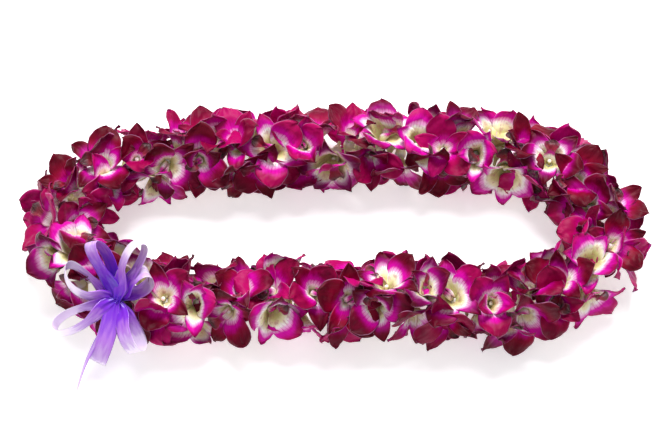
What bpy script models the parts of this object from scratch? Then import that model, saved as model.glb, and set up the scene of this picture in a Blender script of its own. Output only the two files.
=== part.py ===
"""A fresh orchid lei laid on a table: blossoms threaded on one string, with a ribbon bow tied at the joint.

Every blossom is one grown piece: a pierced core, three sepals, two petals and a lip. The string runs through
the bores of all the cores and is knotted into a ring. One length of ribbon is folded into six loops and two
tails, and a narrow tie holds its middle to the string. Metres, +Z up, the table at z = 0.
"""

import math
import random

import bmesh
import bpy
from mathutils import Matrix, Vector
from mathutils.bvhtree import BVHTree

UP = Vector((0, 0, 1))
MM = 0.001

# The string: the route of its centreline over the table, one smooth closed curve through these points.
# It starts at the knot under the bow and runs along the near side first.
ROUTE = [
    (-0.156, -0.058),
    (-0.118, -0.064),
    (-0.074, -0.064),
    (-0.024, -0.060),
    (0.034, -0.061),
    (0.090, -0.065),
    (0.143, -0.064),
    (0.182, -0.049),
    (0.202, -0.022),
    (0.204, 0.010),
    (0.184, 0.039),
    (0.146, 0.056),
    (0.094, 0.063),
    (0.040, 0.066),
    (-0.016, 0.065),
    (-0.070, 0.061),
    (-0.124, 0.058),
    (-0.171, 0.046),
    (-0.200, 0.016),
    (-0.198, -0.025),
]
ROUTE_STEPS = 12
STRING_HEIGHT = 0.027
STRING_RADIUS = 0.0006
STRING_SIDES = 6
STRING_SPANS = 72
KNOT_RADIUS = 0.0015
KNOT_LENGTH = 0.0035

# Where the route's own origin stands from the middle of the whole lei's outline.
LEI_PLACE = (-0.0006, 0.0129, 0)

# The blossoms: how many, how they turn round the string, and how much one differs from the next.
BLOSSOMS = 56
BOW_GAP = 0.031
GOLDEN_TURN = 137.5
FIRST_TURN = 66
FACING_SHARE = 0.84
FACING_JITTER = 10
LEAN = 20
SIZE_RANGE = (0.94, 1.06)
SEED = 7

# A blossom's core: six-sided rings, (height along the way it faces, radius). The string's bore is at height 0.
CORE_RINGS = [
    (-10.0 * MM, 1.2 * MM),
    (-3.0 * MM, 3.2 * MM),
    (6.8 * MM, 3.0 * MM),
    (8.0 * MM, 3.0 * MM),
    (12.0 * MM, 1.3 * MM),
]
WHORL_RING = 2
CORE_SIDES = 6
BORE_SIDES = 4
BORE_RADIUS = 1.4 * MM

# Tepals: the core face that each grows from, its azimuth about the flower's axis, length, width, and its
# natural spread from that axis and backward curl, in degrees.
TEPALS = {
    "petal_right": {"face": 0, "azimuth": 18, "length": 30.0, "width": 20.0, "spread": 50, "curl": 16},
    "dorsal_sepal": {"face": 1, "azimuth": 90, "length": 29.0, "width": 13.0, "spread": 54, "curl": 20},
    "petal_left": {"face": 2, "azimuth": 162, "length": 30.0, "width": 20.0, "spread": 50, "curl": 16},
    "lateral_sepal_left": {"face": 3, "azimuth": 226, "length": 28.0, "width": 13.5, "spread": 58, "curl": 22},
    "lip": {"face": 4, "azimuth": 270, "length": 21.0, "width": 14.0, "spread": 46, "curl": 30},
    "lateral_sepal_right": {"face": 5, "azimuth": 314, "length": 28.0, "width": 13.5, "spread": 58, "curl": 22},
}
PLACING_ORDER = ["petal_right", "petal_left", "dorsal_sepal", "lateral_sepal_right", "lateral_sepal_left", "lip"]
SPREAD_JITTER = 9
# Where a tepal's three sections lie along it, and how wide and thick it is there.
SECTION_SHARES = [0.36, 0.72, 1.0]
WIDTH_SHARES = {"broad": [0.58, 0.98, 0.34], "narrow": [0.66, 0.90, 0.26], "lip": [0.50, 1.0, 0.40]}
THICKNESS = [1.1 * MM, 0.9 * MM, 0.6 * MM]
# The ways a tepal may give to its neighbours: change of spread, of azimuth, and roll about its own length.
SPREAD_STEPS = [0, -10, 10, -20, 20, -30, 30, -40, 40, -50, -60]
AZIMUTH_STEPS = [0, 8, -8, 16, -16, 24, -24, 32, -32]
ROLL_STEPS = [0, 22, -22, 44, -44]
# How near to the flower's axis a tepal may start, in degrees from it.
LEAST_START = 6
# Where no way is free, a tepal is tried again at these shares of its size.
SMALLER_SHARES = [1.0, 0.75, 0.55]
CLEARANCE = 0.35 * MM
REACH = 0.085

# The bow: one ribbon, its loops in the order it is folded. Angles and lengths are in the bow's own frame: x to
# the right, y up the slope of the garland, z off it. belly is half a loop's height, and lift raises its far end.
BOW_OUT = Vector((-0.008, -0.017, 0.016))
BOW_LEAN = 60
RIBBON_WIDTH = 13.0 * MM
RIBBON_THICKNESS = 0.5 * MM
RIBBON_PINCH = 4.0 * MM
PINCH_REACH = 27.0 * MM
LAYER_STEP = 1.5 * MM
TIE_GAP = 2.2 * MM
LOOPS = [
    {"angle": 31, "length": 31, "belly": 6.0, "lift": -5},
    {"angle": 155, "length": 40, "belly": 7.0, "lift": 2},
    {"angle": 289, "length": 40, "belly": 7.0, "lift": 2},
    {"angle": 106, "length": 45, "belly": 6.0, "lift": 5},
    {"angle": 205, "length": 48, "belly": 8.0, "lift": 8},
    {"angle": 68, "length": 44, "belly": 6.0, "lift": 7},
]
LOOP_STEPS = 12
FIRST_TAIL = [(-9, -5, -7), (-14, -15, -7), (-17, -30, -6), (-20, -43, -8)]
LAST_TAIL = [(-6, -12, 5), (-13, -25, 9), (-20, -38, 9), (-27, -49, 4), (-32, -58, -4), (-35, -65, -10)]
TIE_ANGLE = 97
TIE_WIDTH = 1.4 * MM
TIE_THICKNESS = 0.6 * MM
TIE_REACH = 4.4 * MM
TIE_STEPS = 8


def clear_scene():
    for thing in list(bpy.data.objects):
        bpy.data.objects.remove(thing)


def material(name, colour, roughness, metallic=0.0):
    made = bpy.data.materials.new(name)
    made.use_nodes = True
    shader = made.node_tree.nodes["Principled BSDF"]
    shader.inputs["Base Color"].default_value = (*colour, 1)
    shader.inputs["Roughness"].default_value = roughness
    shader.inputs["Metallic"].default_value = metallic
    return made


def new_object(name, bm, finish, parent, matrix=None):
    mesh = bpy.data.meshes.new(name)
    bm.to_mesh(mesh)
    bm.free()
    mesh.materials.append(finish)
    made = bpy.data.objects.new(name, mesh)
    bpy.context.scene.collection.objects.link(made)
    made.parent = parent
    if matrix is not None:
        made.matrix_local = matrix
    return made


# The string


def smooth_closed(points, steps):
    """Points on the smooth closed curve through the given ones."""
    count, made = len(points), []
    for i in range(count):
        a, b, c, d = (points[(i + k) % count] for k in (-1, 0, 1, 2))
        for step in range(steps):
            t = step / steps
            made.append(
                0.5 * (2 * b + (c - a) * t + (2 * a - 5 * b + 4 * c - d) * t**2 + (3 * b - a - 3 * c + d) * t**3)
            )
    return made


class StringLine:
    """The string's centreline, measured along its length from the knot."""

    def __init__(self):
        points = [Vector((x, y, STRING_HEIGHT)) for x, y in ROUTE]
        self.points = smooth_closed(points, ROUTE_STEPS)
        self.starts = [0.0]
        for i, point in enumerate(self.points):
            after = self.points[(i + 1) % len(self.points)]
            self.starts.append(self.starts[-1] + (after - point).length)
        self.length = self.starts[-1]

    def at(self, along):
        along %= self.length
        i = next(k for k in range(len(self.points)) if self.starts[k + 1] >= along)
        share = (along - self.starts[i]) / (self.starts[i + 1] - self.starts[i])
        return self.points[i].lerp(self.points[(i + 1) % len(self.points)], share)

    def direction(self, along):
        step = 2 * MM
        return (self.at(along + step) - self.at(along - step)).normalized()


def string_tube(line, radius_at, sides, spans):
    """A closed tube along the string's line, whose radius may change along it."""
    bm = bmesh.new()
    rings = []
    for i in range(spans):
        along = line.length * i / spans
        centre, ahead = line.at(along), line.direction(along)
        side = ahead.cross(UP).normalized()
        radius = radius_at(min(along, line.length - along))
        turns = [2 * math.pi * k / sides for k in range(sides)]
        rings.append([bm.verts.new(centre + radius * (side * math.cos(a) + UP * math.sin(a))) for a in turns])
    for i, ring in enumerate(rings):
        after = rings[(i + 1) % spans]
        for k in range(sides):
            j = (k + 1) % sides
            bm.faces.new((ring[k], ring[j], after[j], after[k]))
    bmesh.ops.recalc_face_normals(bm, faces=bm.faces)
    return bm


def knotted_radius(from_knot):
    swell = math.exp(-((from_knot / KNOT_LENGTH) ** 2))
    return STRING_RADIUS + (KNOT_RADIUS - STRING_RADIUS) * swell


# The blossoms


def blossom_place(line, index):
    """The blossom's frame, x to its right petal, y to its dorsal sepal and z the way it faces, and its size."""
    rng = random.Random(SEED * 1000 + index)
    pitch = (line.length - BOW_GAP) / (BLOSSOMS - 1)
    along = BOW_GAP / 2 + index * pitch
    place, ahead = line.at(along), line.direction(along)
    turn = ((index * GOLDEN_TURN + FIRST_TURN) % 360 - 180) * FACING_SHARE + rng.uniform(-FACING_JITTER, FACING_JITTER)
    out = Matrix.Rotation(math.radians(turn), 3, ahead) @ UP
    lean = math.radians(rng.uniform(-LEAN, LEAN))
    out = (out * math.cos(lean) + ahead * math.sin(lean)).normalized()
    right = (ahead - out * ahead.dot(out)).normalized()
    right = Matrix.Rotation(math.radians(rng.uniform(0, 360)), 3, out) @ right
    up = out.cross(right)
    frame = Matrix((right, up, out)).transposed().to_4x4()
    frame.translation = place
    return frame, rng.uniform(*SIZE_RANGE)


def natural_spread(index, name):
    rng = random.Random(f"{SEED} {index} {name}")
    return TEPALS[name]["spread"] + rng.uniform(-SPREAD_JITTER, SPREAD_JITTER)


def tepal_poses():
    """Every way a tepal may give, the least change first."""
    found = [(s, a, r) for s in SPREAD_STEPS for a in AZIMUTH_STEPS for r in ROLL_STEPS]
    return sorted(found, key=lambda pose: abs(pose[0]) + 1.2 * abs(pose[1]) + 0.4 * abs(pose[2]))


def width_shares(name):
    if name == "lip":
        return WIDTH_SHARES["lip"]
    return WIDTH_SHARES["broad" if name.startswith("petal") else "narrow"]


def tepal_sections(frame, size, index, name, pose, grow=0.0):
    """A tepal's sections from near its root to its tip, each (left back, right back, right front, left front).

    An edge that would go under the table is lifted to lie on it. grow makes the tepal larger all round.
    """
    tepal, (more_spread, more_azimuth, roll) = TEPALS[name], pose
    azimuth = math.radians(tepal["azimuth"] + more_azimuth)
    spread = natural_spread(index, name) + more_spread
    outward = Vector((math.cos(azimuth), math.sin(azimuth), 0))
    across = Vector((-math.sin(azimuth), math.cos(azimuth), 0))
    height = (CORE_RINGS[WHORL_RING][0] + CORE_RINGS[WHORL_RING + 1][0]) / 2
    point = outward * CORE_RINGS[WHORL_RING][1] + UP * height
    sections, before = [], 0.0
    for i, share in enumerate(SECTION_SHARES):
        angle = math.radians(spread + tepal["curl"] * (i - 1))
        ahead = outward * math.sin(angle) + UP * math.cos(angle)
        point = point + ahead * tepal["length"] * MM * size * (share - before)
        before = share
        wide = Matrix.Rotation(math.radians(roll) * share, 3, ahead) @ across
        front = ahead.cross(wide)
        half_width = tepal["width"] * MM * size * width_shares(name)[i] / 2 + grow
        half_thick = THICKNESS[i] / 2 + grow
        corners = [
            frame @ (point + wide * x * half_width + front * y * half_thick)
            for x, y in ((-1, -1), (1, -1), (1, 1), (-1, 1))
        ]
        sections.append(lift_off_table(corners, -grow))
    return sections


def lift_off_table(corners, table):
    """Moves the left and the right edge of a section up, each on its own, until neither is under the table."""
    lifted = list(corners)
    for back, front in ((0, 3), (1, 2)):
        under = table - min(corners[back].z, corners[front].z)
        if under > 0:
            lifted[back] = corners[back] + UP * under
            lifted[front] = corners[front] + UP * under
    return lifted


def core_ring(ring):
    height, radius = CORE_RINGS[ring]
    turns = [2 * math.pi * k / CORE_SIDES for k in range(CORE_SIDES)]
    return [Vector((radius * math.cos(a), radius * math.sin(a), height)) for a in turns]


def root_corners(frame, name):
    """The corners of the core face that a tepal grows from, in the order of a section's corners."""
    face = TEPALS[name]["face"]
    low, high = core_ring(WHORL_RING), core_ring(WHORL_RING + 1)
    after = (face + 1) % CORE_SIDES
    return [frame @ corner for corner in (low[face], low[after], high[after], high[face])]


def tree_of(sections):
    """A search tree of the closed surface through these sections."""
    points = [corner for section in sections for corner in section]
    faces = [(3, 2, 1, 0), tuple(len(points) - 4 + k for k in range(4))]
    for i in range(len(sections) - 1):
        for k in range(4):
            j = (k + 1) % 4
            faces.append((4 * i + k, 4 * i + j, 4 * i + 4 + j, 4 * i + 4 + k))
    return BVHTree.FromPolygons(points, faces)


def mesh_tree(bm, matrix):
    points = [matrix @ vert.co for vert in bm.verts]
    bm.verts.index_update()
    return BVHTree.FromPolygons(points, [[vert.index for vert in face.verts] for face in bm.faces])


def column_tree(frame):
    """A search tree of the column, the core's tip above the whorl, which no tepal may bend into."""
    base, tip = core_ring(WHORL_RING + 1), core_ring(WHORL_RING + 2)
    rings = [[frame @ low.lerp(high, share) for low, high in zip(base, tip, strict=True)] for share in (0.15, 1.0)]
    faces = [tuple(range(CORE_SIDES, 2 * CORE_SIDES))]
    for k in range(CORE_SIDES):
        j = (k + 1) % CORE_SIDES
        faces.append((k, j, CORE_SIDES + j, CORE_SIDES + k))
    return BVHTree.FromPolygons(rings[0] + rings[1], faces)


def core_mesh():
    """The core alone, with its bands of faces from the cut stalk to the column's tip."""
    bm = bmesh.new()
    rings = [[bm.verts.new(corner) for corner in core_ring(i)] for i in range(len(CORE_RINGS))]
    bm.faces.new(reversed(rings[0]))
    bm.faces.new(rings[-1])
    whorl = []
    for i in range(len(rings) - 1):
        for k in range(CORE_SIDES):
            j = (k + 1) % CORE_SIDES
            face = bm.faces.new((rings[i][k], rings[i][j], rings[i + 1][j], rings[i + 1][k]))
            if i == WHORL_RING:
                whorl.append(face)
    return bm, whorl


def blossom_mesh(frame, tepals):
    """The core with every tepal extruded from its own face of the whorl."""
    bm, whorl = core_mesh()
    to_own = frame.inverted()
    for name, sections in tepals.items():
        face = whorl[TEPALS[name]["face"]]
        for corners in sections:
            face = bmesh.ops.extrude_discrete_faces(bm, faces=[face])["faces"][0]
            for vert, corner in zip(face.verts, corners, strict=True):
                vert.co = to_own @ corner
    return bm


def open_blossoms(line, obstacles):
    """Opens each tepal as far as it goes without touching what is already there: cores, bow or other tepals."""
    places = [blossom_place(line, i) for i in range(BLOSSOMS)]
    centres = [frame @ Vector((0, 0, CORE_RINGS[WHORL_RING][0])) for frame, _ in places]
    cores = [mesh_tree(core_mesh()[0], frame) for frame, _ in places]
    placed, outer_placed = [[] for _ in places], [[column_tree(frame)] for frame, _ in places]
    opened = [{} for _ in places]
    tries = [(pose, share) for share in SMALLER_SHARES for pose in tepal_poses()]
    for name in PLACING_ORDER:
        for i, (frame, size) in enumerate(places):
            near = [k for k in range(BLOSSOMS) if k != i and (centres[k] - centres[i]).length < REACH]
            others = obstacles + [cores[k] for k in near] + [tree for k in near for tree in placed[k]]
            root = root_corners(frame, name)
            start = natural_spread(i, name) - TEPALS[name]["curl"]
            for pose, share in tries:
                if start + pose[0] < LEAST_START:
                    continue
                grown = tepal_sections(frame, size * share, i, name, pose, CLEARANCE)
                whole, outer = tree_of([root, *grown]), tree_of(grown)
                blocked = any(whole.overlap(tree) for tree in others + outer_placed[i])
                if not blocked and not any(outer.overlap(tree) for tree in placed[i]):
                    break
            else:
                print(f"blossom {i + 1}: no free way for its {name}")
                continue
            opened[i][name] = tepal_sections(frame, size * share, i, name, pose)
            placed[i].append(tree_of([root, *opened[i][name]]))
            outer_placed[i].append(tree_of(opened[i][name]))
    return places, opened


# The bow


def bow_frame(line):
    """The bow's frame at its pinched middle: x along the table, y up the garland's slope, z off it."""
    frame = Matrix.Rotation(math.radians(90 - BOW_LEAN), 4, "X")
    frame.translation = line.at(0) + BOW_OUT
    return frame


def layer_height(k):
    """How far off the garland the ribbon's k-th pass through the middle lies; the tie goes over the first."""
    return LAYER_STEP * (k - len(LOOPS) / 2) - (TIE_GAP if k == 0 else 0)


def ribbon_stations():
    """(point, width direction, width) along the ribbon in the bow's frame, from one tail's end to the other's."""
    stations = tail_stations([Vector(p) * MM for p in reversed(FIRST_TAIL)])
    for k, loop in enumerate(LOOPS):
        stations.append(middle_station(stations[-1][0], loop, layer_height(k)))
        stations += loop_stations(loop, layer_height(k), layer_height(k + 1))
    last = [Vector(p) * MM for p in LAST_TAIL]
    ahead = Vector((last[0].x, last[0].y, 0)).normalized() - loop_out(LOOPS[-1])
    wide = UP.cross(ahead).normalized()
    stations.append((Vector((0, 0, layer_height(len(LOOPS)))), -wide, RIBBON_PINCH))
    stations += [(point, -wide, width) for point, wide, width in tail_stations(last)]
    return untwisted(stations)


def untwisted(stations):
    """The same stations, each width direction pointing the same way as the one before."""
    made = [stations[0]]
    for point, wide, width in stations[1:]:
        made.append((point, wide if wide.dot(made[-1][1]) > 0 else -wide, width))
    return made


def loop_out(loop):
    angle = math.radians(loop["angle"])
    return Vector((math.cos(angle), math.sin(angle), 0))


def middle_station(before, loop, height):
    """Where the ribbon passes the middle on its way to a loop, flat on the layers below."""
    ahead = loop_out(loop) - Vector((before.x, before.y, 0)).normalized()
    return Vector((0, 0, height)), UP.cross(ahead).normalized(), RIBBON_PINCH


def loop_stations(loop, low, high):
    """One loop, out from the middle and back: flat on its neighbours near the middle, and round further out."""
    out, made = loop_out(loop), []
    for step in range(1, LOOP_STEPS):
        share = step / LOOP_STEPS
        reach = math.sin(math.pi * share)
        bulge = loop["belly"] * MM * math.sin(2 * math.pi * share) * 1.3 * reach**1.5
        height = low + (high - low) * share + loop["lift"] * MM * reach**2 - bulge
        point = out * loop["length"] * MM * reach + UP * height
        made.append((point, out.cross(UP), ribbon_width(point)))
    return made


def tail_stations(points):
    wide = (points[-1] - points[0]).cross(UP).normalized()
    return [(point, wide, ribbon_width(point)) for point in points]


def ribbon_width(point):
    share = min(1.0, math.hypot(point.x, point.y) / PINCH_REACH)
    return RIBBON_PINCH + (RIBBON_WIDTH - RIBBON_PINCH) * share * share * (3 - 2 * share)


def band_mesh(stations, thickness, closed=False):
    """A flat band through stations of (point, width direction, width), as one solid."""
    bm = bmesh.new()
    rings, count = [], len(stations)
    for i, (point, wide, width) in enumerate(stations):
        before = stations[(i - 1) % count if closed else max(i - 1, 0)][0]
        after = stations[(i + 1) % count if closed else min(i + 1, count - 1)][0]
        ahead = (after - before).normalized()
        wide = (wide - ahead * wide.dot(ahead)).normalized()
        flat = ahead.cross(wide)
        corners = ((-1, -1), (1, -1), (1, 1), (-1, 1))
        rings.append([bm.verts.new(point + wide * x * width / 2 + flat * y * thickness / 2) for x, y in corners])
    for i in range(count if closed else count - 1):
        ring, after = rings[i], rings[(i + 1) % count]
        for k in range(4):
            j = (k + 1) % 4
            bm.faces.new((ring[k], ring[j], after[j], after[k]))
    if not closed:
        bm.faces.new(reversed(rings[0]))
        bm.faces.new(rings[-1])
    bmesh.ops.recalc_face_normals(bm, faces=bm.faces)
    return bm


def tie_stations(line):
    """The tie's closed band: under the string, up both sides and over the ribbon's first pass."""
    bow = bow_frame(line)
    low = line.at(0)
    high = bow @ Vector((0, 0, layer_height(0)))
    off = bow.to_3x3() @ UP
    side = bow.to_3x3() @ loop_out({"angle": TIE_ANGLE})
    along = (high - low).normalized()
    round_string = (side - along * side.dot(along)).normalized()
    halves = [
        (low, round_string, along * (KNOT_RADIUS + TIE_THICKNESS), math.pi),
        (high, side, off * (TIE_GAP + LAYER_STEP) / 2, 0.0),
    ]
    stations = []
    for centre, across, reach, start in halves:
        for step in range(TIE_STEPS):
            angle = start + math.pi * step / (TIE_STEPS - 1)
            point = centre + across * TIE_REACH * math.cos(angle) + reach * math.sin(angle)
            stations.append((point, along.cross(side), TIE_WIDTH))
    return stations


def main():
    clear_scene()
    cotton = material("string_cotton", (0.86, 0.84, 0.78), 0.85)
    petal = material("orchid_tepal", (0.42, 0.005, 0.13), 0.55)
    satin = material("ribbon_satin", (0.52, 0.36, 0.86), 0.32)

    lei = bpy.data.objects.new("lei", None)
    bpy.context.scene.collection.objects.link(lei)
    lei.location = LEI_PLACE
    line = StringLine()
    bow = bow_frame(line)

    new_object("string", string_tube(line, knotted_radius, STRING_SIDES, STRING_SPANS), cotton, lei)
    bore = string_tube(line, lambda _: BORE_RADIUS, BORE_SIDES, STRING_SPANS)
    cutter = new_object("bore_cutter", bore, cotton, lei)
    cutter.hide_render = True
    cutter.display_type = "WIRE"

    ribbon = band_mesh(ribbon_stations(), RIBBON_THICKNESS)
    tie = band_mesh(tie_stations(line), TIE_THICKNESS, closed=True)
    obstacles = [mesh_tree(ribbon, bow), mesh_tree(tie, Matrix.Identity(4))]
    new_object("ribbon_bow", ribbon, satin, lei, bow)
    new_object("bow_tie", tie, satin, lei)

    places, opened = open_blossoms(line, obstacles)
    for i, ((frame, _), tepals) in enumerate(zip(places, opened, strict=True)):
        blossom = new_object(f"blossom_{i + 1:02d}", blossom_mesh(frame, tepals), petal, lei, frame)
        drill = blossom.modifiers.new("string_bore", "BOOLEAN")
        drill.operation = "DIFFERENCE"
        drill.object = cutter


main()
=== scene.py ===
"""The looks of a fresh orchid lei: 113 blossoms on one twisted string, closed with a satin bow.

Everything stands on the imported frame. Of the blossoms, 56 take the place, the turn and the spread of every
tepal from their own CAD solids, and 57 more are pressed in between them. Metres, +Z up, the table at z = 0.
"""

import math
import random

import bpy
import numpy as np
from mathutils import Matrix, Vector
from mathutils.bvhtree import BVHTree


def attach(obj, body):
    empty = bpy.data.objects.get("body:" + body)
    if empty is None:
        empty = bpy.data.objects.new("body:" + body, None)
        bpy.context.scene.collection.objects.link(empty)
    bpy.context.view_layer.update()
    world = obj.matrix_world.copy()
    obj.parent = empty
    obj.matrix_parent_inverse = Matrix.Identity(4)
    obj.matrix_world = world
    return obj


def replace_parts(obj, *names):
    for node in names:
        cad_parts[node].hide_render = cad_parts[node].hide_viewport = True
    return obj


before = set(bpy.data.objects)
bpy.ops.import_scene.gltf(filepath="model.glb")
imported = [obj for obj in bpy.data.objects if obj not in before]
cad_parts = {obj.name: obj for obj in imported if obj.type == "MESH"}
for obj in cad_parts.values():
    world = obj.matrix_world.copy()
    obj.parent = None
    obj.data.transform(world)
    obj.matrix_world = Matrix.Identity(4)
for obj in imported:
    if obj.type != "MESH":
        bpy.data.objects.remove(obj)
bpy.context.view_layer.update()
MM = 0.001
UP = Vector((0, 0, 1))

# --------------------------------------------------------------------------------------------------
# The string: soft white cotton twisted from three strands, threaded through all blossoms, closed in a ring.
# Its line is the CAD string's own: the middles of that tube's rings, in order round the loop.

STRAND_COUNT = 3
STRAND_RADIUS = 0.34 * MM
STRAND_TWIST = 4.5 * MM
RINGS_APART = 5 * MM
DIRECTION_STEP = 5 * MM


def welded_points(node):
    """A CAD node's own corners and its triangles' corner numbers, its loose triangles joined up again."""
    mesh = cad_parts[node].data
    corners = np.empty(len(mesh.vertices) * 3)
    mesh.vertices.foreach_get("co", corners)
    corners = corners.reshape(-1, 3)
    _, first, number = np.unique(np.round(corners, 6), axis=0, return_index=True, return_inverse=True)
    mesh.calc_loop_triangles()
    triangles = np.array([triangle.vertices for triangle in mesh.loop_triangles])
    return corners[first], number.reshape(-1)[triangles]


def string_line():
    """The string's centreline from the knot on, one point for each ring of the CAD tube."""
    corners, _ = welded_points("string")
    middle = (corners.min(0) + corners.max(0)) / 2
    stretched = (corners - middle)[:, :2] / (corners.max(0) - corners.min(0))[:2]
    order = np.argsort(np.arctan2(stretched[:, 1], stretched[:, 0]))
    turn = corners[order]
    rings, ring = [], [turn[0]]
    for corner in turn[1:]:
        if np.linalg.norm(corner - np.mean(ring, axis=0)) > RINGS_APART:
            rings.append(ring)
            ring = []
        ring.append(corner)
    if np.linalg.norm(np.mean(ring, axis=0) - np.mean(rings[0], axis=0)) < RINGS_APART:
        rings[0] += ring
    else:
        rings.append(ring)
    radii = [np.linalg.norm(np.array(r) - np.mean(r, axis=0), axis=1).max() for r in rings]
    knot = int(np.argmax(radii))
    middles = [Vector(np.mean(r, axis=0)) for r in rings]
    return middles[knot:] + middles[:knot]


thread = string_line()
thread_starts = [0.0]
for here, after in zip(thread, thread[1:] + thread[:1]):
    thread_starts.append(thread_starts[-1] + (after - here).length)
thread_length = thread_starts[-1]


def thread_at(along):
    """The point on the string that far along it from the knot."""
    along %= thread_length
    i = next(k for k in range(len(thread)) if thread_starts[k + 1] >= along)
    share = (along - thread_starts[i]) / (thread_starts[i + 1] - thread_starts[i])
    return thread[i].lerp(thread[(i + 1) % len(thread)], share)


def thread_direction(along):
    return (thread_at(along + DIRECTION_STEP) - thread_at(along - DIRECTION_STEP)).normalized()


# --------------------------------------------------------------------------------------------------
# The blossoms: fresh dendrobium orchids picked off their spray, each with a cut stalk, five velvety tepals
# and a lip folded round a short column. The string goes through the base of each. The way each one faces
# follows the rule that the CAD threads them by, and its tepals follow the CAD solid's.

BLOSSOMS = 56
BOW_GAP = 31 * MM
GOLDEN_TURN = 137.5
FIRST_TURN = 66
FACING_SHARE = 0.84
FACING_JITTER = 10
LEAN = 20
SEED = 7
CORE_RADIUS = 4 * MM
CORE_BOTTOM, CORE_TOP = -12 * MM, 13 * MM
WHORL_HEIGHT = 7.4 * MM
WHORL_RADIUS = 2.6 * MM
SECTION_SHARES = (0.0, 0.36, 0.72, 1.0)
FACE_NAMES = ("petal", "sepal", "petal", "sepal", "lip", "sepal")


def facing_frame(along, turn, lean, roll):
    """A blossom's frame at that place along the string, in degrees.

    x points to its right petal, y to its upper sepal and z the way it faces: turned round the string from
    straight up, leant along it, and rolled about its own axis.
    """
    ahead = thread_direction(along)
    out = Matrix.Rotation(math.radians(turn), 3, ahead) @ UP
    lean = math.radians(lean)
    out = (out * math.cos(lean) + ahead * math.sin(lean)).normalized()
    right = (ahead - out * ahead.dot(out)).normalized()
    right = Matrix.Rotation(math.radians(roll), 3, out) @ right
    place = Matrix((right, out.cross(right), out)).transposed().to_4x4()
    place.translation = thread_at(along)
    return place


def blossom_place(index):
    """The frame of a CAD blossom."""
    rng = random.Random(SEED * 1000 + index)
    along = BOW_GAP / 2 + index * (thread_length - BOW_GAP) / (BLOSSOMS - 1)
    turn = ((index * GOLDEN_TURN + FIRST_TURN) % 360 - 180) * FACING_SHARE
    turn += rng.uniform(-FACING_JITTER, FACING_JITTER)
    lean = rng.uniform(-LEAN, LEAN)
    return facing_frame(along, turn, lean, rng.uniform(0, 360))


def tepal_ladders(node, place):
    """The core face of each tepal of a CAD blossom, with the middle and half width of its sections."""
    corners, triangles = welded_points(node)
    own = [place.inverted() @ Vector(corner) for corner in corners]
    core = {i for i, p in enumerate(own) if p.xy.length < CORE_RADIUS and CORE_BOTTOM < p.z < CORE_TOP}
    joined = {i: set() for i in range(len(own))}
    for triangle in triangles:
        for corner in triangle:
            joined[corner] |= set(triangle)
    ladders, seen = [], set(core)
    for start in joined:
        if start in seen:
            continue
        tepal, queue = set(), [start]
        while queue:
            corner = queue.pop()
            if corner not in seen:
                seen.add(corner)
                tepal.add(corner)
                queue += joined[corner]
        roots = {corner for inner in tepal for corner in joined[inner] & core}
        root = sum((own[corner] for corner in roots), Vector()) / len(roots)
        sections, before = [], roots
        while tepal:
            section = {corner for corner in tepal if joined[corner] & before}
            sections.append([own[corner] for corner in section])
            tepal, before = tepal - section, section
        face = round((math.degrees(math.atan2(root.y, root.x)) % 360 - 30) / 60) % 6
        ladders.append((face, [section_rung(section, UP.cross(root)) for section in sections]))
    return ladders


def section_rung(section, across):
    """The middle of a section's four corners, and from there to the middle of its right edge."""
    middle = sum(section, Vector()) / 4
    mate = min(section[1:], key=lambda corner: (corner - section[0]).length)
    edge = (section[0] + mate) / 2 - middle
    return middle, edge if edge.dot(across) > 0 else -edge


class Field:
    """A number or vector at every point of a shape: sums and products of fields are nodes of its tree."""

    tree = None

    def __init__(self, socket):
        self.socket = socket

    def __add__(self, other):
        return work("ADD", self, other)

    def __sub__(self, other):
        return work("SUBTRACT", self, other)

    def __mul__(self, other):
        return work("MULTIPLY", self, other)

    def __truediv__(self, other):
        return work("DIVIDE", self, other)

    def __pow__(self, other):
        return work("POWER", self, other)

    def __rsub__(self, other):
        return work("SUBTRACT", other, self)

    __radd__, __rmul__ = __add__, __mul__


def add_node(kind, inputs=None, **settings):
    """A node of the growing tree, with some inputs linked to fields or sockets, or set to plain values."""
    node = Field.tree.nodes.new(kind)
    for name, value in settings.items():
        setattr(node, name, value)
    for name, value in (inputs or {}).items():
        socket = node.inputs[name]
        if isinstance(value, Field):
            Field.tree.links.new(value.socket, socket)
        elif isinstance(value, bpy.types.NodeSocket):
            Field.tree.links.new(value, socket)
        else:
            socket.default_value = value
    return node


def work(operation, *terms):
    vectors = any(isinstance(term, Field) and term.socket.type == "VECTOR" for term in terms)
    node = add_node("ShaderNodeVectorMath" if vectors else "ShaderNodeMath", operation=operation)
    for socket, term in zip(node.inputs, terms):
        if isinstance(term, Field):
            Field.tree.links.new(term.socket, socket)
        else:
            socket.default_value = (term,) * 3 if vectors else term
    return Field(next(socket for socket in node.outputs if socket.enabled))


def unit(vector):
    return work("NORMALIZE", vector)


def together(x, y, z):
    """One vector from three numbers or fields."""
    return add_node("ShaderNodeCombineXYZ", {"X": x, "Y": y, "Z": z}).outputs[0]


def apart(vector):
    """The three fields of a vector."""
    return [Field(socket) for socket in add_node("ShaderNodeSeparateXYZ", {"Vector": vector}).outputs]


def position():
    return add_node("GeometryNodeInputPosition").outputs[0]


def noise(place, scale, detail=2.0):
    """Soft noise on a place, from 0 to 1."""
    inputs = {"Vector": place, "Scale": scale, "Detail": detail}
    return Field(add_node("ShaderNodeTexNoise", inputs).outputs["Fac"])


def named(name, vector=False):
    """The field of a named attribute of the guide."""
    held = "FLOAT_VECTOR" if vector else "FLOAT"
    node = add_node("GeometryNodeInputNamedAttribute", {"Name": name}, data_type=held)
    return Field(next(socket for socket in node.outputs if socket.enabled))


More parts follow.
